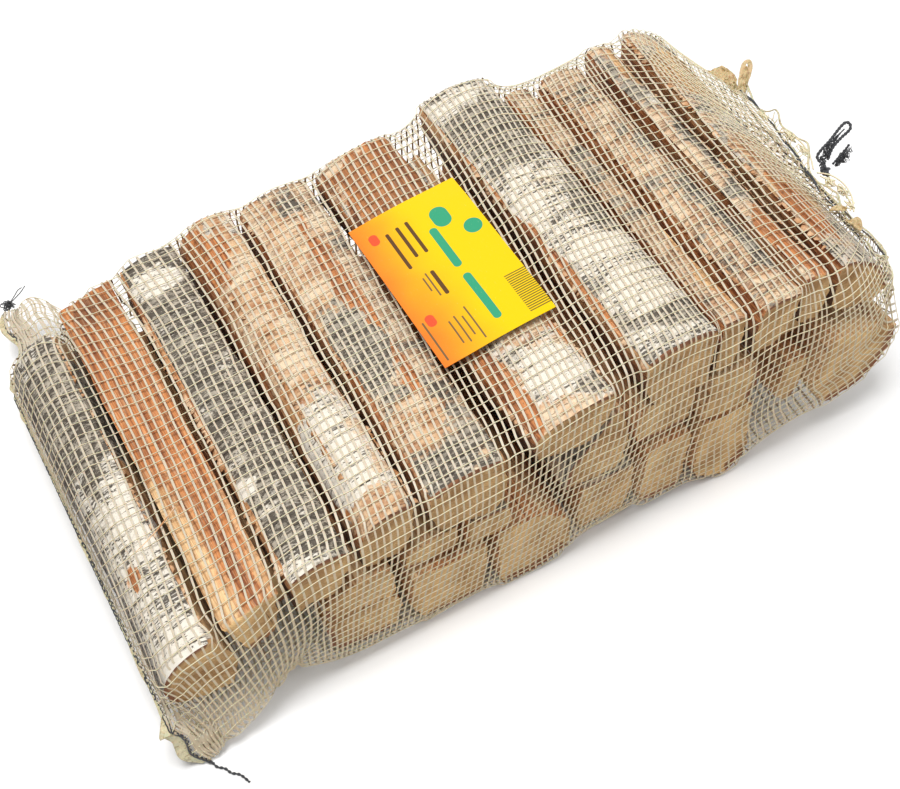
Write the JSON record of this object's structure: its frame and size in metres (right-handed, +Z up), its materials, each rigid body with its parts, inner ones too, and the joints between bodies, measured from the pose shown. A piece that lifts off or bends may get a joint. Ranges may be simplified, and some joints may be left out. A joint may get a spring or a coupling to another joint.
{
  "type": "net sack of split firewood",
  "caption": "Net sack of split birch firewood lying on its side, with a sewn end, a drawstring mouth and a printed card held on top.",
  "frame": {"origin": "bottom centre of the whole sack, on the surface that it lies on, measured without the free thread and cord ends", "axes": "+X runs along the sack from its sewn end to its mouth, +Y runs along the logs away from the viewer, +Z is up"},
  "size_m": [0.6497, 0.4828, 0.219],
  "materials": {
    "birch_log": "split birch: white and grey bark with dark dashes, orange-brown split faces and tan sawn ends",
    "net": "pale cream woven tape net, slightly glossy",
    "stitch_thread": "black chain-stitch thread",
    "drawstring": "black knitted drawstring",
    "label_card": "satin card that fades from yellow to orange"
  },
  "bodies": {
    "root": {"log_01": "birch_log", "log_02": "birch_log", "log_03": "birch_log", "log_04": "birch_log", "log_05": "birch_log", "log_06": "birch_log", "log_07": "birch_log", "log_08": "birch_log", "log_09": "birch_log", "log_10": "birch_log", "log_11": "birch_log", "log_12": "birch_log", "log_13": "birch_log", "log_14": "birch_log", "log_15": "birch_log", "log_16": "birch_log", "log_17": "birch_log", "log_18": "birch_log", "log_19": "birch_log", "log_20": "birch_log", "log_21": "birch_log", "log_22": "birch_log", "log_23": "birch_log", "log_24": "birch_log", "log_25": "birch_log", "log_26": "birch_log", "log_27": "birch_log", "log_28": "birch_log", "net_sack": "net", "label": "label_card", "seam_thread": "stitch_thread", "seam_knot": "stitch_thread", "seam_tail": "stitch_thread", "drawstring": "drawstring", "drawstring_knot": "drawstring", "drawstring_loop": "drawstring", "drawstring_tassel": "drawstring"}
  },
  "joints": []
}
